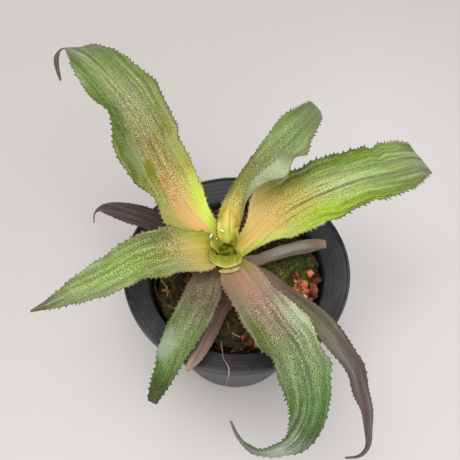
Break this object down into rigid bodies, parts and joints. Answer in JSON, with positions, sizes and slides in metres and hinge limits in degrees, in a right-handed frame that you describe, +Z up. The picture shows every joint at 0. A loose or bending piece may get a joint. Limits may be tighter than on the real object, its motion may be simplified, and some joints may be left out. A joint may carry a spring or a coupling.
{
  "type": "potted bromeliad",
  "caption": "Bromeliad rosette of arching, spine-edged strap leaves growing from a mossy root plug in a round tapered plastic nursery pot with a wide sloping rim.",
  "frame": {"origin": "centre of the flat underside of the pot, on the ground", "axes": "+Z up the pot's axis; -Y towards the side with the two long curling leaves, +X to the right of it"},
  "size_m": [0.2117, 0.1945, 0.1511],
  "materials": {
    "black_plastic": "dull black, lightly scuffed and dusty",
    "root_plug": "dark, damp, fibrous growing medium",
    "stem_tissue": "matte",
    "moss": "soft and matte",
    "bark": "rough orange-brown",
    "green_leaf": "leathery, finely speckled with pale scurf, yellow to salmon at the base",
    "old_leaf": "leathery, faded purple-brown",
    "heart_leaf": "smooth lime green, wet",
    "pale_root": "dry, matte",
    "straw": "dry, matte"
  },
  "bodies": {
    "root": {"pot": "black_plastic", "growing_medium": "root_plug", "stem": "stem_tissue", "moss_cushion": "moss", "bark_chip_1": "bark", "bark_chip_2": "bark", "bark_chip_3": "bark", "bark_chip_4": "bark", "bark_chip_5": "bark", "bark_chip_6": "bark", "leaf_back_left": "green_leaf", "leaf_back": "green_leaf", "leaf_back_right": "green_leaf", "leaf_left": "green_leaf", "leaf_front_left": "green_leaf", "leaf_front_right": "green_leaf", "leaf_front_narrow": "old_leaf", "leaf_right_drooping": "old_leaf", "leaf_right_short": "old_leaf", "leaf_left_old": "old_leaf", "heart_leaf_front": "heart_leaf", "heart_leaf_back": "heart_leaf", "heart_leaf_left": "heart_leaf", "loose_root": "pale_root", "straw_left": "straw", "straw_front": "straw", "twig": "bark"}
  },
  "joints": []
}
